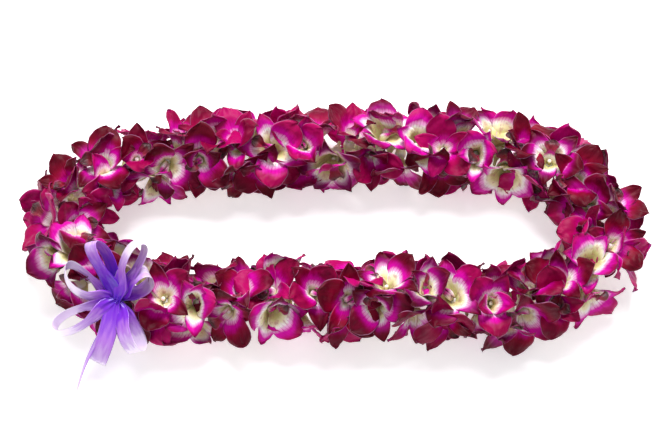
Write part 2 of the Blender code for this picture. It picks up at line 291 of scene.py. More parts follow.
def outline(along, points):
    """A smooth curve through (share of the length, value) points."""
    node = add_node("ShaderNodeFloatCurve", {"Value": along})
    curve = node.mapping.curves[0]
    curve.points[0].location, curve.points[-1].location = points[0], points[-1]
    for point in points[1:-1]:
        curve.points.new(*point)
    node.mapping.update()
    return Field(node.outputs[0])


def through_sections(along, names):
    """The smooth curve through the four values that the guide holds for the root and the three sections."""
    total = None
    for i, name in enumerate(names):
        weight = 1.0
        for j, share in enumerate(SECTION_SHARES):
            if j != i:
                weight = (along - share) * (1 / (SECTION_SHARES[i] - share)) * weight
        term = named(name, vector=True) * weight
        total = term if total is None else total + term
    return total


MIDDLES = ("root", "first", "second", "tip")
EDGES = ("root_edge", "first_edge", "second_edge", "tip_edge")
KINDS = {"petal": 0, "sepal": 1, "lip": 2}
HEART = 3
# The middle of a triangle that fills a grid's corner lies a third of a step from both rims.
CORNER_REACH = 0.4


def keep(geometry, name, value):
    """Stores a vector field on the shape's points under a name that materials can read."""
    node = add_node("GeometryNodeStoreNamedAttribute", {"Geometry": geometry, "Name": name})
    node.data_type, node.domain = "FLOAT_VECTOR", "POINT"
    socket = next(s for s in node.inputs if s.name == "Value" and s.enabled)
    Field.tree.links.new(value, socket)
    return node.outputs[0]


def spread_grids(guide, kind, rows, columns):
    """A grid at each guide point of that kind, with its fields: 0 to 1 along it and -1 to 1 across it."""
    wanted = add_node("FunctionNodeCompare", {"A": named("kind"), "B": float(kind)}, operation="EQUAL")
    picked = add_node("GeometryNodeSeparateGeometry", {"Geometry": guide, "Selection": wanted.outputs[0]})
    counts = {"Vertices X": rows, "Vertices Y": columns}
    grid = add_node("GeometryNodeMeshGrid", {"Size X": 1.0, "Size Y": 2.0, **counts}).outputs[0]
    placed = add_node("GeometryNodeInstanceOnPoints", {"Points": picked.outputs[0], "Instance": grid})
    real = add_node("GeometryNodeRealizeInstances", {"Geometry": placed.outputs[0]})
    row, side, _ = apart(position())
    return real.outputs[0], row + 0.5, side


def drop_corners(mesh, row, side, row_steps, columns):
    """The grid in triangles, without those at its corners that would lie on their twins in the other face."""
    split = add_node("GeometryNodeTriangulate", {"Mesh": mesh})
    from_end = work("MINIMUM", row, 1.0 - row) * row_steps
    from_side = (1.0 - work("ABSOLUTE", side)) * ((columns - 1) / 2)
    at_corner = work("LESS_THAN", from_end, CORNER_REACH) * work("LESS_THAN", from_side, CORNER_REACH)
    inputs = {"Geometry": split.outputs[0], "Selection": at_corner}
    return add_node("GeometryNodeDeleteGeometry", inputs, domain="FACE").outputs[0]


def two_faces(sheet, surface, front, half_thick, along, side):
    """Both faces of a thin sheet, with its leaf coordinates: along, across, and -1 or 1 for the face."""
    both = add_node("GeometryNodeJoinGeometry")
    for facing in (-1.0, 1.0):
        place = surface + front * half_thick * facing
        shell = keep(sheet, "leaf", together(along, side, facing))
        shell = add_node("GeometryNodeSetPosition", {"Geometry": shell, "Position": place}).outputs[0]
        if facing < 0:
            shell = add_node("GeometryNodeFlipFaces", {"Mesh": shell}).outputs[0]
        Field.tree.links.new(shell, both.inputs[0])
    return both.outputs[0]


def coated(geometry, finish):
    return add_node("GeometryNodeSetMaterial", {"Geometry": geometry, "Material": finish}).outputs[0]


TIP_CROWDING = 1.45
CUP_RANGE = 6
OUTLINE_RADIUS = 5 * MM
# No tepal goes lower than this over the table.
TABLE_SKIN = 0.5 * MM


def grow_tepals(guide, size, kind, rows, columns, width, cup, finish):
    """The closed thin bodies of all tepals of one kind: a grid for each, bent along the guide's sections.

    width is the outline's half width from root to tip, as shares of the widest. cup is how far the sides curl
    up, in radians at the edge, at the root, the middle and the tip.
    """
    grids, row, side = spread_grids(guide, kind, rows, columns)
    along = 1.0 - (1.0 - row) ** TIP_CROWDING
    edge = side * side

    middle = through_sections(along, MIDDLES)
    ahead = unit(through_sections(along + 0.02, MIDDLES) - through_sections(along - 0.02, MIDDLES))
    across = through_sections(along, EDGES)
    across = unit(across - ahead * work("DOT_PRODUCT", across, ahead))
    front = work("CROSS_PRODUCT", ahead, across)

    seed = named("seed")
    crinkle = noise(together(along * 2.4, side * 1.1, seed), 1.6) - 0.5
    half = named("half_width") * outline(along, width) * (1.0 + crinkle * 0.22)
    # An outline's values lie between 0 and 1, so a bend to either side is kept round 0.5.
    bend = outline(along, [(place, 0.5 + turn / CUP_RANGE) for place, turn in zip((0.0, 0.5, 1.0), cup)])
    bend = (bend - 0.5) * CUP_RANGE * named("cup")
    lift = half * bend * edge * 0.5 * (1.0 - bend * bend * edge * (1 / 12))
    reach = half * side * (1.0 - bend * bend * edge * (1 / 6))
    wave = work("SINE", along * 9.0 + seed + side * 1.6) * edge * along
    lift = lift + wave * size["Ruffle"] * named("half_width")
    lift = lift + crinkle * size["Crinkle"] * (along + 0.15)
    lift = lift - work("EXPONENT", edge * -60.0) * (1.1 - along) * size["Thickness"] * 0.9
    lift = lift - named("curl") * along**5.0
    above_table = Field(together(-1.0, -1.0, TABLE_SKIN))
    surface = work("MAXIMUM", middle + across * reach + front * lift, above_table)

    body = (1.0 - edge**4.0) * (1.0 - along**9.0) * work("MINIMUM", along * 25.0, 1.0)
    half_thick = body * size["Thickness"] * 0.5
    sheet = drop_corners(grids, row, side, rows - 1.0, columns)
    return coated(two_faces(sheet, surface, front, half_thick, along, side), finish)


def turn_body(guide, rows, columns, start, end, radius, bow, finish):
    """A round body along the way the blossom faces, from height start to end.

    radius is its outline, as shares of OUTLINE_RADIUS. bow moves its middle towards the lip, in millimetres.
    """
    grids, along, side = spread_grids(guide, HEART, rows, columns)
    around = side * -math.pi
    poles = work("MINIMUM", work("MINIMUM", along, 1.0 - along) * 1000.0, 1.0)
    round_radius = outline(along, radius) * poles * OUTLINE_RADIUS
    offset = work("SINE", along * math.pi) * bow * MM
    place = named("root", vector=True) + named("facing", vector=True) * (along * (end - start) + start)
    place = place + named("right", vector=True) * (work("COSINE", around) * round_radius)
    place = place + named("above", vector=True) * (work("SINE", around) * round_radius - offset)
    shell = keep(grids, "leaf", together(along, side, 0.0))
    shell = add_node("GeometryNodeSetPosition", {"Geometry": shell, "Position": place}).outputs[0]
    return coated(shell, finish)


def new_material(name, roughness, **uniform):
    """A material and its tree, with what is the same all over the surface set on the shader itself."""
    made = bpy.data.materials.new(name)
    made.use_nodes = True
    shader = made.node_tree.nodes["Principled BSDF"]
    shader.inputs["Roughness"].default_value = roughness
    for socket, value in uniform.items():
        shader.inputs[socket.replace("_", " ")].default_value = value
    Field.tree = made.node_tree
    return made, shader


def ramp(value, *stops):
    """Colours along a value, from (place, colour) stops."""
    node = add_node("ShaderNodeValToRGB", {"Fac": value})
    node.color_ramp.interpolation = "EASE"
    marks = node.color_ramp.elements
    while len(marks) < len(stops):
        marks.new(0.5)
    for mark, (place, colour) in zip(marks, stops):
        mark.position = place
        mark.color = (*colour, 1)
    return node.outputs[0]


def mixed(share, first, second):
    """The second colour laid over the first by a share from 0 to 1."""
    node = add_node("ShaderNodeMix", data_type="RGBA")
    slots = [s for s in node.inputs if s.enabled]
    for socket, value in zip(slots, (share, first, second)):
        if isinstance(value, Field):
            value = value.socket
        if isinstance(value, bpy.types.NodeSocket):
            Field.tree.links.new(value, socket)
        else:
            socket.default_value = (*value, 1) if isinstance(value, tuple) else value
    return next(s for s in node.outputs if s.enabled)


def smooth(value, low, high):
    """0 below low, 1 above high, and a smooth step between."""
    node = add_node("ShaderNodeMapRange", {"Value": value, "From Min": low, "From Max": high})
    node.interpolation_type = "SMOOTHSTEP"
    return Field(node.outputs[0])


CREAM = (0.90, 0.84, 0.55)
YELLOW_GREEN = (0.62, 0.58, 0.25)
WHITE = (0.97, 0.93, 0.90)
MAGENTA = (0.44, 0.0, 0.15)
BRIGHT_MAGENTA = (0.60, 0.002, 0.34)
CRIMSON = (0.27, 0.0, 0.024)
DEEP_CRIMSON = (0.040, 0.0, 0.004)
PINK = (0.86, 0.40, 0.72)
DULL_ROSE = (0.52, 0.20, 0.22)
VEIN_RED = (0.30, 0.0, 0.10)
MAROON = (0.20, 0.0, 0.06)
WITHERED = (0.10, 0.01, 0.02)
STALK_GREEN = (0.40, 0.42, 0.16)

# The veins that run from a tepal's root to its edge, fanning out: a mask of thin lines, and their relief.
veins = bpy.data.node_groups.new("tepal_veins", "ShaderNodeTree")
veins.interface.new_socket("Leaf", in_out="INPUT", socket_type="NodeSocketVector")
veins.interface.new_socket("Count", in_out="INPUT", socket_type="NodeSocketFloat")
veins.interface.new_socket("Mask", in_out="OUTPUT", socket_type="NodeSocketFloat")
veins.interface.new_socket("Height", in_out="OUTPUT", socket_type="NodeSocketFloat")
Field.tree = veins
vein_in, vein_out = add_node("NodeGroupInput"), add_node("NodeGroupOutput")
leaf_along, leaf_side, _ = apart(vein_in.outputs["Leaf"])
wander = noise(vein_in.outputs["Leaf"], 4.0) - 0.5
spread = leaf_side * Field(vein_in.outputs["Count"]) + wander * 1.2
line_shape = work("ABSOLUTE", work("SINE", spread * math.pi))
thin = 1.0 - smooth(line_shape, 0.0, 0.42)
Field.tree.links.new((thin * (1.0 - leaf_along * 0.75)).socket, vein_out.inputs["Mask"])
grain = noise(vein_in.outputs["Leaf"], 60.0)
Field.tree.links.new((grain * 0.5 - thin * 0.5).socket, vein_out.inputs["Height"])


def leaf_fields(count):
    """The leaf coordinates of the surface, split up, with the vein mask and the relief of that many veins."""
    leaf = add_node("ShaderNodeAttribute", attribute_name="leaf")
    vein = add_node("ShaderNodeGroup", node_tree=veins)
    Field.tree.links.new(leaf.outputs["Vector"], vein.inputs["Leaf"])
    vein.inputs["Count"].default_value = count
    return *apart(leaf.outputs["Vector"]), Field(vein.outputs["Mask"]), Field(vein.outputs["Height"])


def shade_number(name):
    return Field(add_node("ShaderNodeAttribute", attribute_name=name).outputs["Fac"])


def finish_surface(shader, colour, height, depth):
    """Links a colour and a relief of that depth, in metres, to a material's shader."""
    Field.tree.links.new(colour, shader.inputs["Base Color"])
    bump = add_node("ShaderNodeBump", {"Height": height, "Distance": depth, "Strength": 0.6})
    Field.tree.links.new(bump.outputs[0], shader.inputs["Normal"])


def tepal_material():
    """Velvet magenta tepals: white and cream at the root, crimson down the middle, with thin pale edges."""
    made, shader = new_material(
        "orchid_tepal",
        0.42,
        Specular_IOR_Level=0.10,
        Subsurface_Weight=0.12,
        Subsurface_Scale=0.002,
        Subsurface_Radius=(1.0, 0.25, 0.55),
    )
    along, side, facing, vein, height = leaf_fields(5.0)
    tone, pale = shade_number("tone"), shade_number("pale")
    place = add_node("ShaderNodeTexCoord").outputs["Object"]
    mottle = noise(place, 120.0, 3.0)
    edge = work("ABSOLUTE", side)
    front = smooth(facing, -0.2, 0.2)
    # From the root out: cream, white, pink, then magenta; the pale part ends in streaks along the veins.
    out = along - pale * (1.1 - 0.2 * front) + (mottle - 0.5) * 0.16 + vein * 0.09 + edge * edge * 0.20
    base = ramp(
        out + 0.5,
        *((0.20, YELLOW_GREEN), (0.34, CREAM), (0.45, WHITE)),
        *((0.52, PINK), (0.62, BRIGHT_MAGENTA), (0.85, MAGENTA)),
    )
    # Bruises and flushes of rose break up the cream.
    blotch = noise(place, 260.0)
    bruise = smooth(blotch + vein * 0.12, 0.50, 0.72) * (1.0 - smooth(out, -0.10, 0.12)) * 0.6
    base = mixed(bruise, base, DULL_ROSE)
    # The velvet of the inner face deepens to crimson down the middle.
    deep = smooth(out + (mottle - 0.5) * 0.25 - edge * 0.10, 0.12, 0.36) * tone * (0.45 + 0.55 * front)
    colour = mixed(deep, base, CRIMSON)
    darkest = smooth(tone + mottle * 0.3, 0.70, 1.08) * smooth(along, 0.40, 0.85) * 0.82
    colour = mixed(darkest, colour, DEEP_CRIMSON)
    rim = smooth(edge + along * along * 0.04, 0.955, 1.0) * 0.32
    colour = mixed(rim, colour, PINK)
    colour = mixed(vein * 0.22, colour, VEIN_RED)
    colour = mixed(smooth(along, 0.93, 1.0) * 0.7, colour, WITHERED)
    finish_surface(shader, colour, height, 0.15 * MM)
    return made


def lip_material():
    """The lip: cream throat with maroon streaks, dark maroon lobes with a magenta edge."""
    made, shader = new_material(
        "orchid_lip",
        0.40,
        Sheen_Weight=0.2,
        Specular_IOR_Level=0.4,
        Subsurface_Weight=0.1,
        Subsurface_Scale=0.002,
    )
    along, side, _, vein, height = leaf_fields(7.0)
    edge = work("ABSOLUTE", side)
    base = ramp(
        along + vein * 0.10,
        *((0.12, CREAM), (0.34, WHITE), (0.46, BRIGHT_MAGENTA), (0.60, CRIMSON), (0.9, DEEP_CRIMSON)),
    )
    colour = mixed(smooth(edge, 0.75, 1.0) * 0.6, base, MAGENTA)
    colour = mixed(vein * 0.55 * smooth(along, 0.08, 0.3), colour, MAROON)
    finish_surface(shader, colour, height, 0.25 * MM)
    return made


def heart_material():
    """The column, the base and the cut stalk: waxy cream, green at the stalk, with thin pink veins."""
    made, shader = new_material(
        "orchid_heart", 0.38, Specular_IOR_Level=0.45, Subsurface_Weight=0.15, Subsurface_Scale=0.002
    )
    along, _, _, vein, height = leaf_fields(4.0)
    base = ramp(along, (0.0, STALK_GREEN), (0.35, YELLOW_GREEN), (0.6, CREAM), (1.0, WHITE))
    colour = mixed(vein * 0.3, base, PINK)
    finish_surface(shader, colour, height, 0.2 * MM)
    return made


petal_finish, lip_finish, heart_finish = tepal_material(), lip_material(), heart_material()

blossom_tree = bpy.data.node_groups.new("grow_blossom", "GeometryNodeTree")
blossom_tree.interface.new_socket("Guide", in_out="INPUT", socket_type="NodeSocketGeometry")
BLOSSOM_SIZES = {"Thickness": 0.75 * MM, "Ruffle": 0.18, "Crinkle": 5.5 * MM}
for name, value in BLOSSOM_SIZES.items():
    held = blossom_tree.interface.new_socket(name, in_out="INPUT", socket_type="NodeSocketFloat")
    held.default_value = value
blossom_tree.interface.new_socket("Blossom", in_out="OUTPUT", socket_type="NodeSocketGeometry")
Field.tree = blossom_tree
entry, leaving = add_node("NodeGroupInput"), add_node("NodeGroupOutput")
guide = entry.outputs["Guide"]
size = {name: Field(entry.outputs[name]) for name in BLOSSOM_SIZES}
PETAL_OUTLINE = [(0.0, 0.24), (0.16, 0.46), (0.4, 0.90), (0.58, 1.0), (0.8, 0.78), (0.93, 0.40), (1.0, 0.0)]
SEPAL_OUTLINE = [(0.0, 0.42), (0.2, 0.74), (0.45, 1.0), (0.7, 0.84), (0.9, 0.38), (1.0, 0.0)]
LIP_OUTLINE = [(0.0, 0.25), (0.18, 0.85), (0.36, 1.0), (0.5, 0.58)]
LIP_OUTLINE += [(0.6, 0.52), (0.76, 0.76), (0.9, 0.52), (1.0, 0.0)]
BASE_OUTLINE = [(0, 0), (0.03, 0.22), (0.3, 0.3), (0.5, 0.6), (0.8, 0.86), (0.94, 0.7), (1, 0)]
COLUMN_OUTLINE = [(0, 0), (0.06, 0.3), (0.4, 0.26), (0.75, 0.34), (0.93, 0.22), (1, 0)]
shells = [
    grow_tepals(guide, size, KINDS["petal"], 26, 17, PETAL_OUTLINE, (0.9, 0.25, -0.5), petal_finish),
    grow_tepals(guide, size, KINDS["sepal"], 24, 13, SEPAL_OUTLINE, (0.9, 0.5, 0.3), petal_finish),
    grow_tepals(guide, size, KINDS["lip"], 30, 19, LIP_OUTLINE, (1.6, 1.9, -0.3), lip_finish),
    turn_body(guide, 14, 13, -10 * MM, 8.6 * MM, BASE_OUTLINE, 0, heart_finish),
    turn_body(guide, 10, 13, 7 * MM, 14 * MM, COLUMN_OUTLINE, 1.0, heart_finish),
]
whole = add_node("GeometryNodeJoinGeometry")
for shell in shells:
    Field.tree.links.new(shell, whole.inputs[0])
closed = add_node("GeometryNodeMergeByDistance", {"Geometry": whole.outputs[0], "Distance": 0.004 * MM})
shaded = add_node("GeometryNodeSetShadeSmooth", {"Geometry": closed.outputs[0]})
Field.tree.links.new(shaded.outputs[0], leaving.inputs[0])


def crossings(place, rungs, trees):
    """How often the strip through these sections cuts what is already there, and the strip itself."""
    points, faces = [], []
    for middle, edge in rungs:
        points += [place @ (middle - edge), place @ (middle + edge)]
    for i in range(0, len(points) - 2, 2):
        faces.append((i, i + 1, i + 3, i + 2))
    strip = BVHTree.FromPolygons(points, faces)
    return sum(len(strip.overlap(tree)) for tree in trees), strip


solid_trees = {}
for node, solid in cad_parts.items():
    if node != "string":
        corners, triangles = welded_points(node)
        solid_trees[node] = BVHTree.FromPolygons([Vector(corner) for corner in corners], triangles.tolist())

# A tepal is as long as the first of these shares of its solid's length that keeps it off the ribbon.
GROWTHS = (1.1, 1.04, 0.97, 0.9, 0.82, 0.72, 0.62)
BOW_MIDDLE = thread_at(0) + Vector((-4 * MM, -12 * MM, 20 * MM))
BOW_CLEARANCE = 19 * MM
# How much wider than its solid a petal, a sepal and a lip are.
WIDENING = (1.28, 1.3, 1.25)
# How crimson a blossom is, how far its pale heart spreads, and how far its tips curl back, in mm.
FLUSH_RANGE = (0.45, 1.2)
PALLORS = (0.22, 0.31, 0.41, 0.52, 0.70)
CURLS = (0.0, 1.0, 2.5, 5.0)


def blossom_guide(index, place, ladders):
    """A mesh of seven points, for the six tepals and the heart, that says where and how each one grows."""
    rng = random.Random(SEED * 77 + index)
    rows = []
    flush, pallor = rng.uniform(*FLUSH_RANGE), rng.choice(PALLORS)
    for face, rungs in ladders:
        root_angle = math.radians(60 * face + 30)
        outward = Vector((math.cos(root_angle), math.sin(root_angle), 0))
        root = outward * WHORL_RADIUS * 0.7 + UP * WHORL_HEIGHT
        for growth in GROWTHS:
            longer = [(root, rungs[0][1])]
            longer += [(root + (middle - root) * growth, edge) for middle, edge in rungs]
            clear = (place @ longer[-1][0] - BOW_MIDDLE).length > BOW_CLEARANCE
            if clear and crossings(place, longer, [solid_trees["ribbon_bow"]])[0] == 0:
                break
        middles = [place @ middle for middle, _ in longer]
        edges = [(place.to_3x3() @ edge).normalized() for _, edge in rungs]
        kind = KINDS[FACE_NAMES[face]]
        widest = max(edge.length for _, edge in rungs)
        rows.append({
            "kind": kind,
            **dict(zip(MIDDLES, middles)),
            **dict(zip(EDGES, [edges[0], *edges])),
            "half_width": widest * WIDENING[kind],
            "seed": rng.uniform(0, 60),
            "tone": min(1.0, max(0.0, flush + rng.uniform(-0.2, 0.2))),
            "pale": max(0.04, pallor + rng.uniform(-0.06, 0.10) + (0.06 if kind == KINDS["sepal"] else 0)),
            "cup": rng.uniform(0.5, 1.3),
            "curl": rng.choice(CURLS) * MM,
        })
    axes = place.to_3x3().transposed()
    heart = {"root": place.translation, "right": axes[0], "above": axes[1], "facing": axes[2]}
    rows.append({"kind": HEART, **heart})
    mesh = bpy.data.meshes.new("guide")
    mesh.from_pydata([(0, 0, 0)] * len(rows), [], [])
    for name in sorted({name for row in rows for name in row}):
        vector = any(isinstance(row.get(name), Vector) for row in rows)
        attribute = mesh.attributes.new(name, "FLOAT_VECTOR" if vector else "FLOAT", "POINT")
        for item, row in zip(attribute.data, rows):
            if vector:
                item.vector = row.get(name, Vector())
            else:
                item.value = row.get(name, 0.0)
    return mesh


def grown(name, mesh, tree, values):
    """The plain mesh object that a node tree grows from a guide mesh."""
    seed_object = bpy.data.objects.new(name + "_guide", mesh)
    bpy.context.scene.collection.objects.link(seed_object)
    modifier = seed_object.modifiers.new("grow", "NODES")
    modifier.node_group = tree
    for item in tree.interface.items_tree:
        if item.in_out == "INPUT" and item.name in values:
            modifier[item.identifier] = values[item.name]
    evaluated = seed_object.evaluated_get(bpy.context.evaluated_depsgraph_get())
    made = bpy.data.objects.new(name, bpy.data.meshes.new_from_object(evaluated))
    bpy.data.objects.remove(seed_object)
    bpy.context.scene.collection.objects.link(made)
    return made


def make_blossom(name, place, ladders, index):
    made = grown(name, blossom_guide(index, place, ladders), blossom_tree, BLOSSOM_SIZES)
    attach(made, "root")
    return made


for index in range(BLOSSOMS):
    node = f"blossom_{index + 1:02d}"
    place = blossom_place(index)
    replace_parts(make_blossom("orchid_" + node[-2:], place, tepal_ladders(node, place), index), node)

# A strung lei is packed closer than one solid to each node allows: one more blossom is pressed in between
# every two of those, and one at either end beneath the bow, with its tepals where its neighbours leave room.

PRESSED_TEPALS = {
    "petal": {"length": 31 * MM, "width": 19 * MM, "spread": 42},
    "sepal": {"length": 29 * MM, "width": 13 * MM, "spread": 46},
    "lip": {"length": 20 * MM, "width": 13 * MM, "spread": 26},
}
AZIMUTHS = (18, 90, 162, 226, 270, 314)
SECTION_WIDTHS = (0.5, 0.46, 0.15)
SECTION_BEND = 18
TABLE_GAP = 0.6 * MM


def pressed_ladder(place, face, spread, azimuth, size):
    """The sections of a tepal that opens to that spread and azimuth, with its root on the blossom's whorl."""
    tepal = PRESSED_TEPALS[FACE_NAMES[face]]
    outward = Vector((math.cos(azimuth), math.sin(azimuth), 0))
    point, before, rungs = outward * WHORL_RADIUS + UP * WHORL_HEIGHT, 0.0, []
    for section, share in enumerate(SECTION_SHARES[1:]):
        angle = math.radians(spread + SECTION_BEND * (section - 1))
        way = outward * math.sin(angle) + UP * math.cos(angle)
        point = point + way * tepal["length"] * size * (share - before)
        before = share
        under = TABLE_GAP - (place @ point).z
        if under > 0:
            point = point + place.to_3x3().transposed() @ UP * under
        half_width = tepal["width"] * size * SECTION_WIDTHS[section]
        rungs.append((point, UP.cross(outward) * half_width))
    return rungs


PRESSED_FACING_SHARE = 0.55
PRESSED_JITTER = 8
PRESSED_LEAN = 16
PRESSED_SEEDS = 200
UNDER_BOW_TURN = 70
NEAR_STRIPS = 14
TRIES = 16
pressed_trees = []
for index in range(-1, BLOSSOMS):
    rng = random.Random(SEED * 500 + index)
    along = BOW_GAP / 2 + (index + 0.5) * (thread_length - BOW_GAP) / (BLOSSOMS - 1)
    turn = (((index + 0.5) * GOLDEN_TURN + FIRST_TURN + 180) % 360 - 180) * PRESSED_FACING_SHARE
    if index in (-1, BLOSSOMS - 1):
        turn = UNDER_BOW_TURN
    turn += rng.uniform(-PRESSED_JITTER, PRESSED_JITTER)
    place = facing_frame(along, turn, rng.uniform(-PRESSED_LEAN, PRESSED_LEAN), rng.uniform(0, 360))
    near = [solid_trees[f"blossom_{k + 1:02d}"] for k in range(max(0, index - 2), min(BLOSSOMS, index + 4))]
    near += [solid_trees["ribbon_bow"], *pressed_trees[-NEAR_STRIPS:]]
    ladders = []
    for face, name in enumerate(FACE_NAMES):
        best = None
        for attempt in range(TRIES):
            azimuth = math.radians(AZIMUTHS[face] + rng.uniform(-22, 22) * min(1, attempt))
            spread = PRESSED_TEPALS[name]["spread"] + rng.uniform(-24, 26) * min(1, attempt)
            rungs = pressed_ladder(place, face, spread, azimuth, rng.uniform(0.92, 1.06))
            cuts, strip = crossings(place, rungs, near)
            if best is None or cuts < best[0]:
                best = (cuts, rungs, strip)
            if cuts == 0:
                break
        ladders.append((face, best[1]))
        pressed_trees.append(best[2])
    make_blossom(f"pressed_orchid_{index + 2:02d}", place, ladders, PRESSED_SEEDS + index)

# --------------------------------------------------------------------------------------------------
# The string's three strands of soft cotton, laid up round the line that the blossoms are threaded on, and
# the knot that closes the ring, tied in the string itself and hidden beneath the bow.

STRAND_SIDES = 6
strand_tree = bpy.data.node_groups.new("twist_strands", "GeometryNodeTree")
strand_tree.interface.new_socket("Guide", in_out="INPUT", socket_type="NodeSocketGeometry")
for name in ("Strand radius", "Lay radius", "Turn each point"):
    strand_tree.interface.new_socket(name, in_out="INPUT", socket_type="NodeSocketFloat")
strand_tree.interface.new_socket("String", in_out="OUTPUT", socket_type="NodeSocketGeometry")


def cotton_material():
    """Soft white cotton, each strand finely ribbed across and a little fuzzy."""
    made, shader = new_material("white_cotton", 0.85, Sheen_Weight=0.4, Sheen_Roughness=0.6)
    place = add_node("ShaderNodeTexCoord").outputs["Object"]
    fuzz = noise(place, 2600.0)
    soil = noise(place, 90.0)
    colour = ramp(fuzz * 0.6 + soil * 0.4, (0.3, (0.62, 0.58, 0.48)), (0.6, (0.88, 0.86, 0.80)))
    finish_surface(shader, colour, fuzz, 0.08 * MM)
    return made


cotton = cotton_material()
Field.tree = strand_tree
entry, leaving = add_node("NodeGroupInput"), add_node("NodeGroupOutput")
order = Field(add_node("GeometryNodeInputIndex").outputs[0])
line_side, line_up = named("side", vector=True), named("up", vector=True)
whole = add_node("GeometryNodeJoinGeometry")
for strand in range(STRAND_COUNT):
    turn = order * Field(entry.outputs["Turn each point"]) + 2 * math.pi * strand / STRAND_COUNT
    offset = line_side * work("COSINE", turn) + line_up * work("SINE", turn)
    lay = offset * Field(entry.outputs["Lay radius"])
    moved = add_node("GeometryNodeSetPosition", {"Geometry": entry.outputs["Guide"], "Offset": lay})
    line = add_node("GeometryNodeMeshToCurve", {"Mesh": moved.outputs[0]})
    circle = {"Resolution": STRAND_SIDES, "Radius": entry.outputs["Strand radius"]}
    section = add_node("GeometryNodeCurvePrimitiveCircle", circle)
    drawn = {"Curve": line.outputs[0], "Profile Curve": section.outputs[0]}
    tube = add_node("GeometryNodeCurveToMesh", drawn)
    Field.tree.links.new(tube.outputs[0], whole.inputs[0])
finished = add_node("GeometryNodeSetMaterial", {"Geometry": whole.outputs[0], "Material": cotton})
finished = add_node("GeometryNodeSetShadeSmooth", {"Geometry": finished.outputs[0]})
finished = add_node("GeometryNodeRealizeInstances", {"Geometry": finished.outputs[0]})
Field.tree.links.new(finished.outputs[0], leaving.inputs[0])


def ring_guide(points):
    """A closed ring of points and edges that carries, at each point, two directions across the line."""
    count = len(points)
    mesh = bpy.data.meshes.new("ring_guide")
    mesh.from_pydata(points, [(i, (i + 1) % count) for i in range(count)], [])
    sides = mesh.attributes.new("side", "FLOAT_VECTOR", "POINT")
    ups = mesh.attributes.new("up", "FLOAT_VECTOR", "POINT")
    for i in range(count):
        ahead = (points[(i + 1) % count] - points[i - 1]).normalized()
        side = ahead.cross(UP).normalized()
        sides.data[i].vector, ups.data[i].vector = side, side.cross(ahead)
    return mesh


STRING_STEP = 1.1 * MM
STRAND_SIZES = {"Strand radius": STRAND_RADIUS, "Lay radius": STRAND_RADIUS}
steps = round(thread_length / STRING_STEP)
twists = round(thread_length / STRAND_TWIST)
string = grown(
    "threaded_string",
    ring_guide([thread_at(thread_length * i / steps) for i in range(steps)]),
    strand_tree,
    {**STRAND_SIZES, "Turn each point": 2 * math.pi * twists / steps},
)
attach(string, "root")
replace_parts(string, "string")

KNOT_SIZE = 0.75 * MM
KNOT_POINTS = 60
KNOT_TWISTS = 6
knot_line = []
for i in range(KNOT_POINTS):
    a = 2 * math.pi * i / KNOT_POINTS
    x, y = math.sin(a) + 2 * math.sin(2 * a), math.cos(a) - 2 * math.cos(2 * a)
    knot_line.append(thread_at(0) + Vector((x, y, -1.4 * math.sin(3 * a))) * KNOT_SIZE)
knot_sizes = {**STRAND_SIZES, "Turn each point": 2 * math.pi * KNOT_TWISTS / KNOT_POINTS}
knot = grown("string_knot", ring_guide(knot_line), strand_tree, knot_sizes)
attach(knot, "root")

# --------------------------------------------------------------------------------------------------
# The bow: one length of thin lilac satin ribbon drawn into six loops and two tails, pinched where a narrow
# tie holds its middle to the string, and stiff enough to stand off the flowers. Its own frame: x along the
# table, y up the slope that the garland's side makes, z off it.

RIBBON_WIDTH = 14 * MM
RIBBON_THICKNESS = 0.28 * MM
PINCHED_SHARE = 0.38
PINCH_REACH = 13 * MM
BOW_SLOPE = math.radians(30)
bow_place = Matrix.Rotation(BOW_SLOPE, 4, "X")
bow_place.translation = BOW_MIDDLE
# Each loop: the way it points, how far it reaches and opens, how it rolls about its own length, how its end
# lifts, how far it swerves sideways, and how much painted light its satin gets: above 0 a paler painted
# highlight, below 0 darker painted shade. In degrees and millimetres.
BOW_LOOPS = [
    {"angle": 34, "length": 31, "open": 11.5, "roll": 46, "lift": 6, "swerve": 3, "pale": 0.0},
    {"angle": 163, "length": 43, "open": 12.5, "roll": 56, "lift": 9, "swerve": -12, "pale": 0.22},
    {"angle": 290, "length": 41, "open": 9.0, "roll": -36, "lift": 8, "swerve": 2, "pale": 0.1},
    {"angle": 104, "length": 47, "open": 9.0, "roll": 44, "lift": 9, "swerve": 6, "pale": -0.3},
    {"angle": 205, "length": 50, "open": 9.5, "roll": 60, "lift": 6, "swerve": 0, "pale": 0.28},
    {"angle": 71, "length": 48, "open": 9.5, "roll": 62, "lift": 9, "swerve": -4, "pale": 0.1},
]
LOOP_STATIONS = 30
LAYER_STEP = 1.1
TAIL_STATIONS = 26
RIBBON_COLUMNS = 13
WIDE_TAIL = [(0, 0, 1), (-3, -8, 2.5), (-6, -20, 3), (-10, -33, 2), (-14.5, -44, -2), (-16.5, -48, -6)]
NARROW_TAIL = [(0, 0, -2), (-7, -14, -3), (-14, -27, -3), (-20, -38, -3)]
NARROW_TAIL += [(-26, -51, -5), (-31, -66, -6), (-32, -70, -6)]


def pinch(reach):
    """The share of its width that the ribbon keeps at that distance from the tie."""
    share = min(1.0, reach / PINCH_REACH)
    return PINCHED_SHARE + (1 - PINCHED_SHARE) * share * share * (3 - 2 * share)


